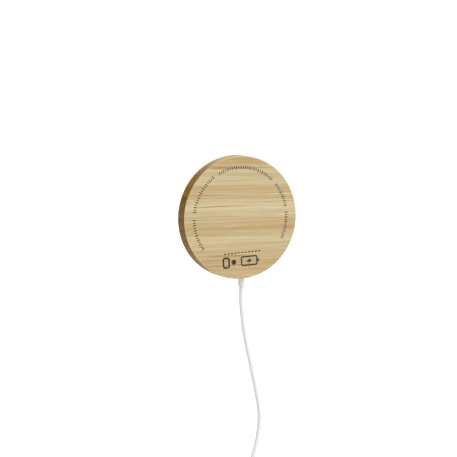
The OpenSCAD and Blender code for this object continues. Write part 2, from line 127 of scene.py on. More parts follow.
# The short run from the bottom layer of the stored coil up to the plug
LEAD_ROUTE_MM = [
    (-14, 13.8, -141), (-10.5, 13.8, -140.9), (-7, 13.8, -140), (-4, 13.8, -138.8), (-1, 13.8, -138.2),
]

# The stored coil: layers of flat spirals, wound inwards and outwards by turns, with a short step down between
COIL_CENTRE = Vector((-17.5, -1, 0)) * MM
COIL_OUT_R = 14.8 * MM
COIL_PITCH = 2.05 * MM
COIL_LAYERS = 4
COIL_TURNS = 3.625
STEP_TURNS = 1 / 3
POINTS_PER_TURN = 36
# The tie presses the turns together by this share, and they rise to leave room for it below them
TIE_SQUEEZE = 0.07
TIE_LIFT = 0.28 * MM
# How far round the coil both of these reach from the tie
TIE_SPREAD = math.radians(26)


def ease(t):
    """Eases from 0 to 1 without a corner at either end."""
    t = min(max(t, 0), 1)
    return t * t * (3 - 2 * t)


def coil_points():
    """The stored coil's centreline, clockwise from above, from its front top to its back bottom."""
    in_r = COIL_OUT_R - COIL_TURNS * COIL_PITCH
    mid_r = (COIL_OUT_R + in_r) / 2
    top_z = FLOOR_Z + CORD_R + (COIL_LAYERS - 1) * COIL_PITCH
    mid_z = (top_z + FLOOR_Z + CORD_R) / 2
    layer_turns = COIL_TURNS + STEP_TURNS
    total = COIL_LAYERS * COIL_TURNS + (COIL_LAYERS - 1) * STEP_TURNS
    count = round(total * POINTS_PER_TURN)
    points = []
    for i in range(count + 1):
        turns = total * i / count
        layer = min(int(turns / layer_turns), COIL_LAYERS - 1)
        along = turns - layer * layer_turns
        share = min(along / COIL_TURNS, 1)
        inwards = layer % 2 == 0
        r = COIL_OUT_R - (share if inwards else 1 - share) * COIL_TURNS * COIL_PITCH
        down = ease((along - COIL_TURNS) / STEP_TURNS)
        z = top_z - (layer + down) * COIL_PITCH
        angle = -math.pi / 2 - turns * 2 * math.pi
        off_tie = math.atan2(math.sin(angle), math.cos(angle)) / TIE_SPREAD
        at_tie = math.exp(-off_tie * off_tie)
        squeeze = 1 - TIE_SQUEEZE * at_tie
        r = mid_r + (r - mid_r) * squeeze
        z = mid_z + (z - mid_z) * squeeze + TIE_LIFT * at_tie
        points.append(COIL_CENTRE + Vector((r * math.cos(angle), r * math.sin(angle), z)))
    return points


def through(route):
    """A smooth curve through a route's points."""
    points = []
    for i in range(len(route) - 1):
        a, b = route[max(i - 1, 0)], route[i]
        c, d = route[i + 1], route[min(i + 2, len(route) - 1)]
        for k in range(ROUTE_STEPS):
            t = k / ROUTE_STEPS
            points.append((
                2 * b
                + (c - a) * t
                + (2 * a - 5 * b + 4 * c - d) * t ** 2
                + (3 * b - a - 3 * c + d) * t ** 3
            ) / 2)
    return points + [route[-1]]


def in_metres(route):
    """A route's points as vectors, from millimetres."""
    return [Vector(p) * MM for p in route]


def cord_path():
    """The whole centreline: hanging, wound, and up to the plug."""
    coil = coil_points()
    hanging = through(in_metres(CORD_ROUTE_MM) + coil[:2])
    lead = through(coil[-2:] + in_metres(LEAD_ROUTE_MM))
    return hanging[:-1] + coil[2:-2] + lead


# ---------------------------------------------------------------- building pieces

def add_mesh(name, points, faces, slot_name, smooth=True):
    """A new piece on the one body, from points in metres and faces that list them."""
    mesh = bpy.data.meshes.new(name)
    mesh.from_pydata([tuple(p) for p in points], [], faces)
    mesh.validate()
    shape = bmesh.new()
    shape.from_mesh(mesh)
    bmesh.ops.recalc_face_normals(shape, faces=shape.faces)
    shape.to_mesh(mesh)
    shape.free()
    mesh.polygons.foreach_set("use_smooth", [smooth] * len(mesh.polygons))
    mesh.materials.append(MATERIALS[slot_name])
    piece = bpy.data.objects.new(name, mesh)
    scene.collection.objects.link(piece)
    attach(piece, "root")
    return piece


def bevel(piece, width):
    """Rounds a piece's sharp edges by width metres."""
    edge = piece.modifiers.new("rounded_edges", "BEVEL")
    edge.width = width
    edge.segments = 2
    edge.limit_method = "ANGLE"
    edge.angle_limit = math.radians(30)
    edge.harden_normals = True


def loft(sections):
    """Points and faces of a closed skin through sections that have the same number of points."""
    count = len(sections[0])
    points = [p for section in sections for p in section]
    faces = []
    for i in range(len(sections) - 1):
        for k in range(count):
            n = (k + 1) % count
            faces.append((i * count + k, i * count + n, (i + 1) * count + n, (i + 1) * count + k))
    faces.append(tuple(range(count)))
    faces.append(tuple(range(len(points) - count, len(points))))
    return points, faces


def turns_of(count):
    """The angles of count even steps round a circle."""
    return [2 * math.pi * k / count for k in range(count)]


def rounded_outline(half_w, half_h, r, per_corner):
    """Points round a rectangle with rounded corners, as pairs, anticlockwise from its right side."""
    outline = []
    for corner, (sx, sy) in enumerate([(1, 1), (-1, 1), (-1, -1), (1, -1)]):
        for k in range(per_corner + 1):
            angle = math.pi / 2 * (corner + k / per_corner)
            outline.append((
                sx * (half_w - r) + r * math.cos(angle),
                sy * (half_h - r) + r * math.sin(angle),
            ))
    return outline


def swept(path, r, sides):
    """Points and faces of a round tube along a path, its rings turned as little as possible."""
    sections = []
    side = Vector((0, 1, 0))
    for i, place in enumerate(path):
        ahead = (path[min(i + 1, len(path) - 1)] - path[max(i - 1, 0)]).normalized()
        side = (side - ahead * side.dot(ahead)).normalized()
        other = ahead.cross(side)
        sections.append([
            place + (side * math.cos(a) + other * math.sin(a)) * r
            for a in turns_of(sides)
        ])
    return loft(sections)


# ---------------------------------------------------------------- materials

def linear(code):
    """A colour for a shader, from its six hexadecimal digits as seen on a screen."""
    shades = [int(code[i:i + 2], 16) / 255 for i in (0, 2, 4)]
    return tuple(s / 12.92 if s <= 0.04045 else ((s + 0.055) / 1.055) ** 2.4 for s in shades) + (1,)


class Shader:
    """One material's nodes. Lengths inside it are millimetres in the object's own frame."""

    def __init__(self, name, **sockets):
        self.material = bpy.data.materials.new(name)
        self.material.use_nodes = True
        self.tree = self.material.node_tree
        self.surface = next(n for n in self.tree.nodes if n.type == "BSDF_PRINCIPLED")
        for key, value in sockets.items():
            self.surface.inputs[key.replace("_", " ")].default_value = value
        self.where = self.add("TexCoord")
        self.place = self.add(
            "VectorMath", {0: self.where.outputs["Object"], "Scale": 1 / MM}, operation="SCALE",
        ).outputs[0]

    def add(self, kind, inputs=None, **settings):
        node = self.tree.nodes.new("ShaderNode" + kind)
        for key, value in settings.items():
            setattr(node, key, value)
        for key, value in (inputs or {}).items():
            self.feed(node.inputs[key], value)
        return node

    def feed(self, socket, value):
        if isinstance(value, bpy.types.NodeSocket):
            self.tree.links.new(value, socket)
        else:
            socket.default_value = value

    def set(self, **values):
        for key, value in values.items():
            self.feed(self.surface.inputs[key.replace("_", " ")], value)

    def math(self, operation, a, b=0.0):
        return self.add("Math", {0: a, 1: b}, operation=operation).outputs[0]

    def dot(self, a, b):
        return self.add("VectorMath", {0: a, 1: b}, operation="DOT_PRODUCT").outputs["Value"]

    def scaled(self, x, y, z, vector=None):
        """The place with each axis scaled, as features per millimetre."""
        return self.add(
            "VectorMath", {0: vector or self.place, 1: (x, y, z)}, operation="MULTIPLY",
        ).outputs[0]

    def moved(self, vector, by):
        return self.add("VectorMath", {0: vector, 1: by}).outputs[0]

    def noise(self, vector, detail=2, roughness=0.5):
        """Noise between 0 and 1, with about one feature to each unit of the vector."""
        return self.add(
            "TexNoise", {"Vector": vector, "Scale": 1, "Detail": detail, "Roughness": roughness},
        ).outputs[0]

    def grit(self, per_mm, detail=2, roughness=0.5):
        """Noise that is the same size in every direction."""
        return self.noise(self.scaled(per_mm, per_mm, per_mm), detail, roughness)

    def span(self, value, low, high, to_low=0.0, to_high=1.0, kind="LINEAR"):
        """Maps low..high onto to_low..to_high and holds it there outside."""
        return self.add(
            "MapRange",
            {"Value": value, "From Min": low, "From Max": high, "To Min": to_low, "To Max": to_high},
            interpolation_type=kind, clamp=True,
        ).outputs[0]

    def codes(self, value, stops):
        """A colour from stops of (position, six hexadecimal digits)."""
        return self.ramp(value, [(position, linear(code)) for position, code in stops])

    def ramp(self, value, stops):
        """A colour from stops of (position, colour)."""
        node = self.add("ValToRGB", {"Fac": value})
        elements = node.color_ramp.elements
        while len(elements) < len(stops):
            elements.new(0.5)
        for element, (position, _) in zip(elements, stops):
            element.position = position
        for element, (_, colour) in zip(elements, stops):
            element.color = colour
        return node.outputs["Color"]

    def mix(self, share, a, b, blend="MIX"):
        """Two colours blended. The Mix node's colour sockets are 6 and 7, and its colour output is 2."""
        node = self.add("Mix", {0: share, 6: a, 7: b}, data_type="RGBA", blend_type=blend)
        return node.outputs[2]

    def grey(self, value):
        return self.add("CombineXYZ", {0: value, 1: value, 2: value}).outputs[0]

    def shade(self, colour, factor):
        """A colour times a number."""
        return self.mix(1, colour, self.grey(factor), "MULTIPLY")

    def bump(self, height, depth, strength):
        """A height of 0 to 1 that stands depth millimetres proud."""
        inputs = {"Height": height, "Distance": depth * MM, "Strength": strength}
        return self.add("Bump", inputs).outputs[0]


# The bamboo board, in millimetres. The slope of its grain, seen on the printed back
GRAIN_TILT = math.radians(-4)
BOARD_HALF = 30
# Its strips: a height across the grain, and the tone there, from 0, dark, to 1, light
STRIPS = [
    (-30, 0.3), (-25, 0.3), (-22, 0.1), (-20.5, 0.2), (-19.5, 0.45), (-16.5, 0.35), (-15.5, 0.6),
    (-11.5, 0.65), (-9, 0.6), (-8, 0.2), (-7, 0.45), (-6, 0.15), (-4.5, 0.1), (-2.5, 0.3), (-1, 0.5),
    (2.5, 0.65), (5.5, 1), (9, 0.75), (10, 0.25), (12, 0.45), (14.5, 0.15), (16.5, 0.75), (18.5, 0.6),
    (20.5, 0.35), (22.5, 0.8), (26.5, 0.15),
]
# How far the strips wander across the grain
WANDER = 1.1
# The tones of the whole board, and the colours that they stand for
TONE_LOW = -0.6
TONE_HIGH = 1.6
BOARD_COLOURS = [(0, "987B4A"), (0.27, "AE9568"), (0.5, "B7A47D"), (0.73, "C2B38F"), (1, "D6CBAF")]
# Thin lines along the grain: a seed, lines per millimetre, half width, strength and colour, and how many
# lines' distance they bend by
THREADS = [
    (3, 0.31, 0.11, 0.95, "8C6B3A"), (11, 0.47, 0.1, 0.8, "967747"), (23, 0.37, 0.1, 0.4, "EAE2C8"),
    (37, 0.59, 0.09, 0.5, "9C7D4E"),
]
THREAD_BEND = 2
# The end grain: the width of one block, how dark its joints and the turned wall are (the wall's darkening is
# partly oil and partly painted shade), and its colours
BLOCK_W = 5.2
JOINT_SHADE = 0.72
WALL_OIL_AND_PAINTED_SHADE = 0.82
END_COLOURS = [(0.3, "5F4010"), (0.5, "7B561B"), (0.68, "9C7331")]
# The printed side's turned edge: the radii and the heights between which it is painted paler, partly as
# rubbed wear and partly as a painted highlight along the rim
RUBBED_AND_HIGHLIGHT_R = (29.4, 29.8)
RUBBED_AND_HIGHLIGHT_Y = (-6.7, -7)
RUBBED_AND_HIGHLIGHT_COLOUR = "E6D6AC"


def bamboo():
    """Laminated bamboo: strip grain on the flat faces, darker blocks of end grain round the wall."""
    s = Shader("bamboo", Specular_IOR_Level=0.1)
    normal = s.where.outputs["Normal"]
    grain = (math.cos(GRAIN_TILT), 0, math.sin(GRAIN_TILT))
    across = (-math.sin(GRAIN_TILT), 0, math.cos(GRAIN_TILT))
    along_mm = s.dot(s.place, grain)
    across_mm = s.dot(s.place, across)
    depth_mm = s.dot(s.place, (0, 1, 0))
    board = s.add("CombineXYZ", {0: along_mm, 1: depth_mm, 2: across_mm}).outputs[0]

    # The strips wander a little along the grain
    wander = s.span(s.noise(s.scaled(0.012, 0.1, 0.05, board), detail=1), 0, 1, -WANDER, WANDER)
    height = s.math("ADD", across_mm, wander)
    tone_stops = [((t + BOARD_HALF) / (2 * BOARD_HALF), (v, v, v, 1)) for t, v in STRIPS]
    tone = s.ramp(s.span(height, -BOARD_HALF, BOARD_HALF), tone_stops)

    # Fibre bundles: soft streaks, narrow streaks, fine fibres and short flecks
    soft = s.noise(s.scaled(0.012, 0.5, 0.7, board), detail=1)
    streak = s.noise(s.scaled(0.01, 1.6, 1.8, board), detail=3, roughness=0.7)
    fibre = s.noise(s.scaled(0.018, 3.3, 3.6, board), detail=3, roughness=0.75)
    fleck = s.noise(s.scaled(0.16, 3.2, 4.2, board), detail=2, roughness=0.7)
    tone = s.math("ADD", tone, s.span(soft, 0.3, 0.7, -0.08, 0.08))
    tone = s.math("ADD", tone, s.span(streak, 0.25, 0.75, -0.09, 0.09))
    tone = s.math("ADD", tone, s.span(fibre, 0.25, 0.75, -0.4, 0.4))
    tone = s.math("ADD", tone, s.span(fleck, 0.25, 0.75, -0.26, 0.26))
    colour = s.codes(s.span(tone, TONE_LOW, TONE_HIGH), BOARD_COLOURS)

    # Threads: thin lines that run a long way, wander, and come and go
    for seed, per_mm, half_width, strength, code in THREADS:
        bends = s.moved(s.scaled(0.011, 0.5, 0.3, board), (seed, seed, 0))
        bend = s.math("MULTIPLY", s.noise(bends, detail=1), THREAD_BEND)
        row = s.math("FRACT", s.math("ADD", s.math("MULTIPLY", across_mm, per_mm), bend))
        off = s.math("ABSOLUTE", s.math("SUBTRACT", row, 0.5))
        patches = s.moved(s.scaled(0.03, 0.5, 0.45, board), (0, seed, seed))
        shown = s.span(s.noise(patches, detail=1), 0.42, 0.62)
        line = s.math("MULTIPLY", s.span(off, half_width * per_mm * 2, 0, 0, strength), shown)
        colour = s.mix(line, colour, linear(code))

    # The turned wall is painted darker than the sanded faces: partly because it is rougher and takes more
    # oil, partly as painted shade
    flat = s.math("ABSOLUTE", s.dot(normal, (0, 1, 0)))
    colour = s.shade(colour, s.span(flat, 0.1, 0.6, WALL_OIL_AND_PAINTED_SHADE, 1))

    # End grain is darker and redder, in blocks, dotted with fibre ends that crowd to one side
    facing = s.math("ABSOLUTE", s.dot(normal, grain))
    end_grain = s.span(facing, 0.25, 0.8, 0, 0.95, "SMOOTHSTEP")
    blocks = s.math("DIVIDE", s.math("ADD", across_mm, s.math("MULTIPLY", wander, 0.3)), BLOCK_W)
    in_block = s.math("FRACT", blocks)
    block = s.add("TexWhiteNoise", {"W": s.math("FLOOR", blocks)}, noise_dimensions="1D").outputs[0]
    dots = s.noise(s.scaled(0.05, 2.6, 2.6, board), detail=2, roughness=0.7)
    crowded = s.math("ADD", dots, s.span(in_block, 0, 1, 0.05, -0.05))
    end_colour = s.codes(crowded, END_COLOURS)
    end_colour = s.shade(end_colour, s.span(block, 0, 1, 0.87, 1.13))
    from_middle = s.math("ABSOLUTE", s.math("SUBTRACT", in_block, 0.5))
    end_colour = s.shade(end_colour, s.span(from_middle, 0.47, 0.495, 1, JOINT_SHADE))
    colour = s.mix(end_grain, colour, end_colour)

    # The printed side's turned edge is painted paler, partly as rubbed wear and partly as a painted highlight
    # on the rim, least where it cuts the end grain
    radius = s.math("SQRT", s.dot(s.scaled(1, 0, 1), s.place))
    edge = s.math("MULTIPLY", s.span(radius, *RUBBED_AND_HIGHLIGHT_R), s.span(depth_mm, *RUBBED_AND_HIGHLIGHT_Y))
    edge = s.math("MULTIPLY", edge, s.span(end_grain, 0, 0.6, 0.25, 0))
    s.set(Base_Color=s.mix(edge, colour, linear(RUBBED_AND_HIGHLIGHT_COLOUR)))
    s.set(Roughness=s.span(streak, 0.2, 0.8, 0.48, 0.62))
    grooves = s.math("ADD", s.math("MULTIPLY", streak, 0.6), s.math("MULTIPLY", fibre, 0.4))
    s.set(Normal=s.bump(grooves, 0.05, 0.6))
    return s.material


def moulded(name, code, roughness=0.5, grit=0.02, per_mm=4.0, uneven=0.03, **sockets):
    """Moulded plastic or rubber: a fine spark-eroded texture, grit millimetres deep, and faint flow marks."""
    s = Shader(name, **sockets)
    flow = s.grit(0.12, 3)
    texture = s.grit(per_mm, 2, 0.6)
    s.set(Base_Color=s.shade(linear(code), s.span(flow, 0.3, 0.7, 1 - uneven, 1 + uneven)))
    s.set(Roughness=s.span(texture, 0.3, 0.7, roughness - 0.05, roughness + 0.05))
    s.set(Normal=s.bump(texture, grit, 0.5))
    return s.material


def metal(name, code, roughness=0.25, brushed=(0.2, 6, 6), uneven=0.05, grit=0.004):
    """Plated, rolled or drawn metal. Brush marks run along the axis that has the least scale in brushed."""
    s = Shader(name, Metallic=1.0)
    marks = s.noise(s.scaled(*brushed), detail=3, roughness=0.6)
    smudge = s.grit(0.25)
    s.set(Base_Color=s.shade(linear(code), s.span(marks, 0.3, 0.7, 1 - uneven, 1 + uneven)))
    s.set(Roughness=s.span(smudge, 0.3, 0.7, roughness - 0.05, roughness + 0.08))
    s.set(Normal=s.bump(marks, grit, 0.5))
    return s.material


def speckled(name, stops, per_mm=5.0, roughness=0.6, grit=0.01, **sockets):
    """A fired or pressed grain in several colours."""
    s = Shader(name, **sockets)
    grains = s.grit(per_mm, 3, 0.7)
    s.set(Base_Color=s.codes(grains, stops))
    s.set(Roughness=s.span(grains, 0.3, 0.7, roughness - 0.05, roughness + 0.05))
    s.set(Normal=s.bump(grains, grit, 0.5))
    return s.material


def cord_jacket():
    """A soft extruded jacket: faint long draw marks, and a little handling grime."""
    s = Shader("cord_jacket", Specular_IOR_Level=0.35, Sheen_Weight=0.08, Sheen_Roughness=0.5)
    draw = s.noise(s.scaled(2.2, 2.2, 0.15), detail=2)
    grime = s.noise(s.scaled(0.09, 0.09, 0.05), detail=3, roughness=0.6)
    skin = s.grit(7, 1)
    colour = s.mix(s.span(grime, 0.45, 0.75, 0, 0.35), linear("D3D3D2"), linear("CCCBC8"))
    s.set(Base_Color=s.shade(colour, s.span(draw, 0.3, 0.7, 0.98, 1.02)))
    s.set(Roughness=s.span(skin, 0.3, 0.7, 0.42, 0.54))
    s.set(Normal=s.bump(s.math("ADD", draw, s.math("MULTIPLY", skin, 0.4)), 0.012, 0.5))
    return s.material


def strap():
    """A hook-and-loop strap: fuzzy loops over a woven ground."""
    s = Shader("strap", Sheen_Weight=0.35, Sheen_Roughness=0.6, Specular_IOR_Level=0.2)
    warp, weft = [
        s.add("TexWave", {"Vector": s.place, "Scale": scale, "Distortion": 1}, bands_direction=direction)
        for scale, direction in [(0.75, "Y"), (0.55, "DIAGONAL")]
    ]
    weave = s.math("MULTIPLY", warp.outputs[1], weft.outputs[1])
    loops = s.grit(3.5, 3, 0.7)
    height = s.math("ADD", s.math("MULTIPLY", weave, 0.5), s.math("MULTIPLY", loops, 0.5))
    # The colour is darker where the weave and loops lie low: painted shade in the hollows
    s.set(Base_Color=s.codes(height, [(0.1, "B4B4B2"), (0.45, "CFCFCD"), (0.8, "E0E0DE")]))
    s.set(Roughness=s.span(loops, 0.3, 0.7, 0.8, 0.95))
    s.set(Normal=s.bump(height, 0.12, 0.8))
    return s.material


def circuit_board():
    """Solder mask over copper tracks that show faintly through it."""
    s = Shader("board", Coat_Weight=0.4, Coat_Roughness=0.2)
    where = s.scaled(0.5, 0, 0.5)
    cells = s.add("TexVoronoi", {"Vector": where, "Randomness": 0.2}, distance="CHEBYCHEV")
    tracks = s.math("PINGPONG", cells.outputs["Distance"], 0.12)
    weave = s.grit(3)
    colour = s.mix(s.span(tracks, 0.05, 0.08), linear("0D4423"), linear("15602F"))
    s.set(Base_Color=s.shade(colour, s.span(weave, 0.3, 0.7, 0.92, 1.08)))
    s.set(Roughness=s.span(weave, 0.3, 0.7, 0.32, 0.42))
    s.set(Normal=s.bump(s.span(tracks, 0.04, 0.08), 0.03, 0.6))
    return s.material


def ink():
    """Pad-printed ink that thins out over the grain."""
    s = Shader("ink", Specular_IOR_Level=0.3)
    wear = s.noise(s.scaled(1.2, 3, 4), detail=3, roughness=0.65)
    s.set(Base_Color=s.codes(wear, [(0.3, "1E1D1C"), (0.6, "282624"), (0.8, "3E3A33")]))
    s.set(Roughness=s.span(wear, 0.3, 0.7, 0.5, 0.65))
    return s.material


MATERIALS = {
    "bamboo": bamboo(),
    "cap_plastic": moulded("cap_plastic", "DADAD7", 0.5, grit=0.02, per_mm=5, uneven=0.015),
    "silicone": moulded("silicone", "B4B5B5", 0.62, grit=0.03, per_mm=3.5, uneven=0.04, Sheen_Weight=0.15),
    "tape": moulded("tape", "2B2B2A", 0.7, grit=0.03, per_mm=3),
    "foam": speckled("foam", [(0.3, "2E3032"), (0.5, "4A4D50"), (0.7, "63666A")], 3, 0.9, 0.2),
    "copper": metal("copper", "C9794A", 0.3, brushed=(3, 3, 3), uneven=0.1),
    "ferrite": speckled("ferrite", [(0.3, "18181A"), (0.55, "262629"), (0.75, "38383C")], 6, 0.55),
    "aluminium": metal("aluminium", "D2D4D6", 0.3),
    "frame_plastic": moulded("frame_plastic", "DEDEDA", 0.5, grit=0.015),
    "magnet": metal("magnet", "C4C6C8", 0.16, brushed=(1, 1, 1), uneven=0.03),
    "steel": metal("steel", "B9BABC", 0.28, brushed=(1.5, 6, 1.5)),
    "thermistor": moulded("thermistor", "6B3A1C", 0.35, grit=0.01, uneven=0.1, Coat_Weight=0.3),
    "board": circuit_board(),
    "chip": speckled("chip", [(0.3, "101011"), (0.6, "1C1C1E"), (0.8, "29292B")], 7, 0.55),
    "capacitor": speckled("capacitor", [(0.3, "8C6E4A"), (0.5, "A88A62"), (0.7, "BBA07B")], 6, 0.45),
    "passive": speckled("passive", [(0.3, "4C3520"), (0.5, "6A4A2E"), (0.7, "85633F")], 6, 0.5),
    "solder": metal("solder", "CACCCE", 0.22, brushed=(2, 2, 2), uneven=0.08, grit=0.02),
    "collar": moulded("collar", "D2D2D0", 0.42, grit=0.01, per_mm=6, uneven=0.02),
    "cord": cord_jacket(),
    "red_insulation": moulded("red_insulation", "B01818", 0.35, grit=0.006, uneven=0.06),
    "black_insulation": moulded("black_insulation", "161617", 0.35, grit=0.006, uneven=0.06),
    "green_insulation": moulded("green_insulation", "1E7A3A", 0.35, grit=0.006, uneven=0.06),
    "tie": strap(),
    "plug_moulding": moulded("plug_moulding", "CDCDCB", 0.48, grit=0.02, per_mm=5),
    "plug_steel": metal("plug_steel", "C6C7C9", 0.3, brushed=(0.12, 5, 5), uneven=0.03, grit=0.0002),
    "plug_plastic": moulded("plug_plastic", "DCDCDA", 0.35, grit=0.006),
    "gold": metal("gold", "E3B65A", 0.2, brushed=(0.5, 4, 4)),
    "ink": ink(),
}


def dress_nodes():
    """Gives every CAD node its slot's material."""
    for row in frame["record"]["subparts"]:
        solid = frame["nodes"][row["node"]]
        if not solid.material_slots:
            solid.data.materials.append(None)
        for place_for in solid.material_slots:
            place_for.link = "OBJECT"
            place_for.material = MATERIALS[row["material_slot"]]


dress_nodes()


# ---------------------------------------------------------------- the tie round the stored coil

STRAP_T = 0.45 * MM
STRAP_CORNER = 1.2 * MM
STRAP_PLAY = 0.04 * MM
STRAP_EDGE = 0.1 * MM
CORNER_STEPS = 8
# The free end: how far it reaches down the side and across the top, in shares of the bundle's half height
# and half width, how far out its outer face is, in strap thicknesses, and its width, in strap widths
LAP_DOWN = 0.2
LAP_ACROSS = 0.35
LAP_OUT = 1.9
LAP_WIDTH = 0.96


def band(outlines, half_width, closed):
    """Points and faces of a flat band: two outlines in x and z, inner and outer, drawn out along y."""
    points = [
        Vector((x, y, z))
        for y in (-half_width, half_width) for outline in outlines for x, z in outline
    ]
    n = len(outlines[0])
    a, b, c, d = 0, n, 2 * n, 3 * n
    faces = []
    for k in range(n if closed else n - 1):
        m = (k + 1) % n
        faces += [
            (a + k, a + m, c + m, c + k), (b + k, b + m, d + m, d + k),
            (a + k, b + k, b + m, a + m), (c + k, d + k, d + m, c + m),
        ]
    if not closed:
        faces += [(a, b, d, c), (b - 1, c - 1, d + n - 1, d - 1)]
    return points, faces


def make_tie():
    """A strap round the bundle, with its free end lapped over the top and down the outside."""
    bundle_w = COIL_TURNS * COIL_PITCH / 2
    bundle_h = (COIL_LAYERS - 1) * COIL_PITCH / 2
    half_w = bundle_w * (1 - TIE_SQUEEZE) + CORD_R + STRAP_PLAY
    half_h = bundle_h * (1 - TIE_SQUEEZE) + CORD_R + STRAP_PLAY
    half_band = (tie_high.y - tie_low.y) / 2
    centre = COIL_CENTRE + Vector((COIL_OUT_R - bundle_w, 0, tie_low.z + STRAP_T + half_h))

    def layer(out):
        return rounded_outline(half_w + out, half_h + out, STRAP_CORNER + out, CORNER_STEPS)

    def lap(out):
        side = [(half_w + out, -half_h * LAP_DOWN)]
        return side + layer(out)[:CORNER_STEPS + 1] + [(-half_w * LAP_ACROSS, half_h + out)]

    pieces = []
    for name, outlines, half_width, closed in [
        ("coil_strap", (layer(0), layer(STRAP_T)), half_band, True),
        ("strap_end", (lap(STRAP_T), lap(LAP_OUT * STRAP_T)), half_band * LAP_WIDTH, False),
    ]:
        points, faces = band(outlines, half_width, closed)
        piece = add_mesh(name, [p + centre for p in points], faces, "tie")
        bevel(piece, STRAP_EDGE)
        pieces.append(piece)
    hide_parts("cable_tie")
    return pieces


# ---------------------------------------------------------------- the plug's grip and strain relief

GRIP_POINTS = 96
GRIP_STEP = 0.15 * MM
# How square the grip's section is: 2 is an ellipse, more is squarer
GRIP_SQUARE = 5.5
# Millimetres from the grip's cord end, and its half width and half height there, in shares of their largest
GRIP_PROFILE = [
    (0, 0.62, 0.6), (0.12, 0.7, 0.69), (0.5, 0.78, 0.8), (1.2, 0.86, 0.9), (2.4, 0.94, 0.97),
    (4, 0.985, 1), (6, 1, 1), (9, 0.985, 1), (12, 0.965, 1), (15, 0.97, 1), (17.5, 0.985, 1),
    (18.5, 0.98, 0.99), (18.88, 0.955, 0.95), (19, 0.93, 0.9),
]
# The share of the half height from which a side counts as broad, and the share over which it fades in
BROAD_FROM = 0.9
BROAD_FADE = 0.08
DISH_DEPTH = 0.6 * MM
DISH_AT = 10.5 * MM
DISH_HALF = (5.6 * MM, 5.4 * MM)
# In shares of the dish's radius: the width of its sloping rim, and where the ribs end and how fast
DISH_RIM = 0.16
RIB_REACH = 0.8
RIB_FADE = 0.1
RIB_COUNT = 3
RIB_PITCH = 2.1 * MM
RIB_HALF = 0.55 * MM
RIB_RISE = 0.6 * MM


def follow(profile, at):
    """The values of a profile at a place, on straight lines between its rows."""
    for low, high in zip(profile, profile[1:]):
        if at <= high[0]:
            t = (at - low[0]) / (high[0] - low[0])
            return [a + (b - a) * t for a, b in zip(low[1:], high[1:])]
    return profile[-1][1:]


def grip_relief(x, y):
    """How far the grip's broad sides stand above their plain shape: a shallow dish with ribs across it."""
    along = x - DISH_AT
    reach = math.hypot(along / DISH_HALF[0], y / DISH_HALF[1])
    dish = ease((1 - reach) / DISH_RIM)
    rib = 0
    if abs(along) < RIB_PITCH * RIB_COUNT / 2:
        from_rib = abs(along / RIB_PITCH - round(along / RIB_PITCH)) * RIB_PITCH
        rib = ease(2 - 2 * from_rib / RIB_HALF) * ease((RIB_REACH - reach) / RIB_FADE)
    return -DISH_DEPTH * dish + RIB_RISE * rib


def cord_end(low, high):
    """The middle of a box's face at least x, where the cord comes in."""
    return Vector((low.x, (low.y + high.y) / 2, (low.z + high.z) / 2))


def make_grip():
    """The moulded grip: soft edges, a slight waist, and a ribbed dish for finger and thumb."""
    half_w = (grip_high.y - grip_low.y) / 2
    half_h = (grip_high.z - grip_low.z) / 2
    length = grip_high.x - grip_low.x
    centre = cord_end(grip_low, grip_high)
    steps = round(length / GRIP_STEP)
    stations = {length * i / steps for i in range(steps + 1)} | {row[0] * MM for row in GRIP_PROFILE[1:3]}
    sections = []
    for x in sorted(stations):
        wide, high = follow(GRIP_PROFILE, min(x / MM, GRIP_PROFILE[-1][0]))
        section = []
        for angle in turns_of(GRIP_POINTS):
            across, up = math.cos(angle), math.sin(angle)
            out = (abs(across) ** GRIP_SQUARE + abs(up) ** GRIP_SQUARE) ** (-1 / GRIP_SQUARE)
            y, z = half_w * wide * across * out, half_h * high * up * out
            broad = ease((abs(up * out) - BROAD_FROM) / BROAD_FADE)
            z += grip_relief(x, y) * broad * (1 if z > 0 else -1)
            section.append(centre + Vector((x, y, z)))
        sections.append(section)
    points, faces = loft(sections)
    grip = add_mesh("plug_grip", points, faces, "plug_moulding")
    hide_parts("plug_body")
    return grip


RELIEF_POINTS = 40
RELIEF_STEP = 0.08 * MM
RELIEF_WALL = 0.45 * MM
# The thin end is rounded down to just inside the cord
NOSE_R = CORD_R * 0.98
NOSE_START = -0.1 * MM
NOSE_LENGTH = 0.35 * MM
GROOVE_COUNT = 5
GROOVE_HALF = 0.42 * MM
GROOVE_DEPTH = 0.55 * MM
GROOVE_SLOPE = 0.14 * MM


def make_relief():
    """The tapered strain relief, with grooves that let it flex."""
    thin = CORD_R + RELIEF_WALL
    thick = (relief_high.z - relief_low.z) / 2
    length = relief_high.x - relief_low.x
    centre = cord_end(relief_low, relief_high)
    pitch = length / (GROOVE_COUNT + 1)
    steps = round(length / RELIEF_STEP)
    sections = []
    for i in range(steps + 1):
        x = length * i / steps
        r = thin + (thick - thin) * x / length
        groove = min(max(round(x / pitch), 1), GROOVE_COUNT) * pitch
        r -= GROOVE_DEPTH * ease((GROOVE_HALF - abs(x - groove)) / GROOVE_SLOPE)
        r = NOSE_R + (r - NOSE_R) * ease((x - NOSE_START) / NOSE_LENGTH)
        sections.append([
            centre + Vector((x, r * math.cos(a), r * math.sin(a))) for a in turns_of(RELIEF_POINTS)
        ])
    points, faces = loft(sections)
    relief = add_mesh("plug_strain_relief", points, faces, "plug_moulding")
    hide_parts("plug_relief")
    return relief


# ---------------------------------------------------------------- the cord's pieces

def make_cord(carried):
    """The whole cord as one round tube. The pieces that it is given are not used."""
    path = cord_path()
    points, faces = swept(path, CORD_R, CORD_SIDES)
    cord = add_mesh("cord", points, faces, "cord")
    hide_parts("power_cord", "cord_coil", "plug_lead")


make_cord(make_tie() + [make_grip(), make_relief()])


# ---------------------------------------------------------------- marks on the back

# The ink stands proud of the back and is sunk into it a little
INK_T = 0.012 * MM
INK_SUNK = 0.003 * MM

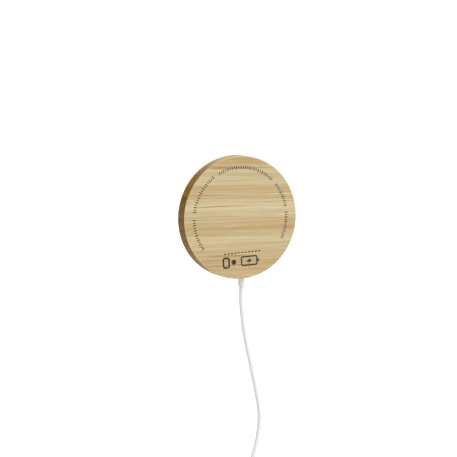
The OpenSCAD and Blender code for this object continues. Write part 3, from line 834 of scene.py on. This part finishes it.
# The sizes from here on are millimetres. Plain ticks, long and short by turns, stand on five arcs, given in
# degrees anticlockwise from the pad's right side
ARC_R = 24.5
ARCS = [(213, 178), (169, 123), (114, 45), (36, 9), (1, -29)]
TICK_PITCH = 1.2
TICK_W = 0.45
TICK_LONG = 1.7
TICK_SHORT = 1.1
# A row of short dashes stands low on the back
ROW_Z = -17.05
ROW_HALF = 9.1
DASH_COUNT = 11
DASH_W = 1.1
DASH_T = 0.6
# Two signs stand under the row: a phone with a disc beside it, and a battery with a bolt in it
SIGN_Z = -21.4
STROKE = 0.85
SIGN_CORNER = 0.7
PHONE_X = -8.7
PHONE_HALF = (1.5, 2.3)
DISC_X = -4.7
DISC_R = 1.25
DISC_CORNER = 1.24
BATTERY_X = 3.5
BATTERY_HALF = (4.1, 2.1)
BATTERY_STROKE = 0.68
TIP_X = 8.35
TIP_HALF = (0.32, 0.85)
TIP_CORNER = 0.2
BOLT = [(0.75, 1.6), (-1.75, -0.45), (-0.1, -0.45), (-0.75, -1.6), (1.75, 0.45), (0.1, 0.45)]


class Print:
    """Flat shapes printed on the back. Outlines are x to the right and z up, in millimetres."""

    def __init__(self):
        self.points = []
        self.faces = []

    def shape(self, outline):
        start = len(self.points)
        count = len(outline)
        for y in (BACK_Y - INK_T, BACK_Y + INK_SUNK):
            self.points += [(x * MM, y, z * MM) for x, z in outline]
        self.faces.append(tuple(range(start, start + count)))
        self.faces.append(tuple(range(start + 2 * count - 1, start + count - 1, -1)))
        for k in range(count):
            n = (k + 1) % count
            self.faces.append((start + k, start + count + k, start + count + n, start + n))

    def bar(self, centre, half_w, half_h, corner, turn=0):
        """A bar with rounded corners, turned anticlockwise."""
        c, s = math.cos(turn), math.sin(turn)
        self.shape([
            (centre[0] + x * c - y * s, centre[1] + x * s + y * c)
            for x, y in rounded_outline(half_w, half_h, corner, 3)
        ])

    def dash(self, centre, length, thickness, turn=0):
        """A short straight mark with soft corners."""
        self.bar(centre, length / 2, thickness / 2, min(length, thickness) * 0.3, turn)

    def stroke(self, route, width):
        """A line of even width through points, with square ends."""
        half = width / 2
        left, right = [], []
        for i, (x, y) in enumerate(route):
            x0, y0 = route[max(i - 1, 0)]
            x1, y1 = route[min(i + 1, len(route) - 1)]
            long = math.hypot(x1 - x0, y1 - y0)
            nx, ny = -(y1 - y0) / long * half, (x1 - x0) / long * half
            left.append((x + nx, y + ny))
            right.append((x - nx, y - ny))
        for i in range(len(route) - 1):
            self.shape([left[i], left[i + 1], right[i + 1], right[i]])


def draw_ticks(page):
    for start, end in ARCS:
        count = round(math.radians(start - end) * ARC_R / TICK_PITCH)
        for k in range(count + 1):
            angle = math.radians(start + (end - start) * k / count)
            place = (ARC_R * math.cos(angle), ARC_R * math.sin(angle))
            page.dash(place, TICK_SHORT if k % 2 else TICK_LONG, TICK_W, angle)


def draw_dashes(page):
    for k in range(DASH_COUNT):
        x = ROW_HALF * (2 * k / (DASH_COUNT - 1) - 1)
        page.dash((x, ROW_Z), DASH_W, DASH_T)


def draw_outline(page, x, half, width):
    """A sign's rounded outline as a line of even width."""
    ring = [(x + dx, SIGN_Z + dz) for dx, dz in rounded_outline(*half, SIGN_CORNER, 4)]
    page.stroke(ring + ring[:1], width)


def draw_signs(page):
    """A phone's outline with a disc beside it for the pad, and a battery with a bolt in it."""
    draw_outline(page, PHONE_X, PHONE_HALF, STROKE)
    page.bar((DISC_X, SIGN_Z), DISC_R, DISC_R, DISC_CORNER)
    draw_outline(page, BATTERY_X, BATTERY_HALF, BATTERY_STROKE)
    page.bar((TIP_X, SIGN_Z), *TIP_HALF, TIP_CORNER)
    page.shape([(BATTERY_X + x, SIGN_Z + z) for x, z in BOLT])


def make_marks():
    """Generic marks where the back carries its print: ticks, dashes and two plain signs."""
    page = Print()
    draw_ticks(page)
    draw_dashes(page)
    draw_signs(page)
    add_mesh("back_marks", page.points, page.faces, "ink", smooth=False)


make_marks()


# ---------------------------------------------------------------- floor, lights and background

FLOOR_R = 20
FLOOR_POINTS = 64
# How strong the studio's even light is, and how bright the studio looks behind the object
STUDIO_LIGHT = 0.35
STUDIO_SEEN = 1
# The width of the two area lights, and the angle that the top light comes from
LIGHT_W = 0.9
SUN_SPREAD = math.radians(60)


def make_floor():
    """A plain pale floor under the stored coil."""
    ring = [(FLOOR_R * math.cos(a), FLOOR_R * math.sin(a), FLOOR_Z) for a in turns_of(FLOOR_POINTS)]
    mesh = bpy.data.meshes.new("floor")
    mesh.from_pydata(ring, [], [tuple(range(FLOOR_POINTS))])
    floor = bpy.data.objects.new("floor", mesh)
    scene.collection.objects.link(floor)
    s = Shader("floor_paint", Roughness=0.9, Specular_IOR_Level=0.1)
    s.set(Base_Color=(0.86, 0.86, 0.86, 1))
    mesh.materials.append(s.material)


def add_light(name, kind, energy, place, **settings):
    """A light that is aimed at the pad's centre."""
    data = bpy.data.lights.new(name, kind)
    data.energy = energy
    for key, value in settings.items():
        setattr(data, key, value)
    light = bpy.data.objects.new(name, data)
    light.location = place
    light.rotation_euler = (-Vector(place)).to_track_quat("-Z", "Y").to_euler()
    scene.collection.objects.link(light)


def make_world():
    """An even pale studio, brighter to the camera than as a light."""
    world = bpy.data.worlds.new("studio")
    world.use_nodes = True
    tree = world.node_tree
    background = next(n for n in tree.nodes if n.type == "BACKGROUND")
    path = tree.nodes.new("ShaderNodeLightPath")
    strength = tree.nodes.new("ShaderNodeMapRange")
    strength.inputs["To Min"].default_value = STUDIO_LIGHT
    strength.inputs["To Max"].default_value = STUDIO_SEEN
    tree.links.new(path.outputs["Is Camera Ray"], strength.inputs["Value"])
    tree.links.new(strength.outputs[0], background.inputs["Strength"])
    background.inputs["Color"].default_value = (1, 1, 1, 1)
    scene.world = world


make_floor()
make_world()
add_light("top_light", "SUN", 3.1, (0.18, -0.35, 1), angle=SUN_SPREAD)
add_light("key_light", "AREA", 5, (0.65, -1, 0.75), shape="DISK", size=LIGHT_W)
add_light("back_light", "AREA", 3, (0.35, 1.1, 0.6), shape="DISK", size=LIGHT_W)
scene.view_settings.view_transform = "Standard"
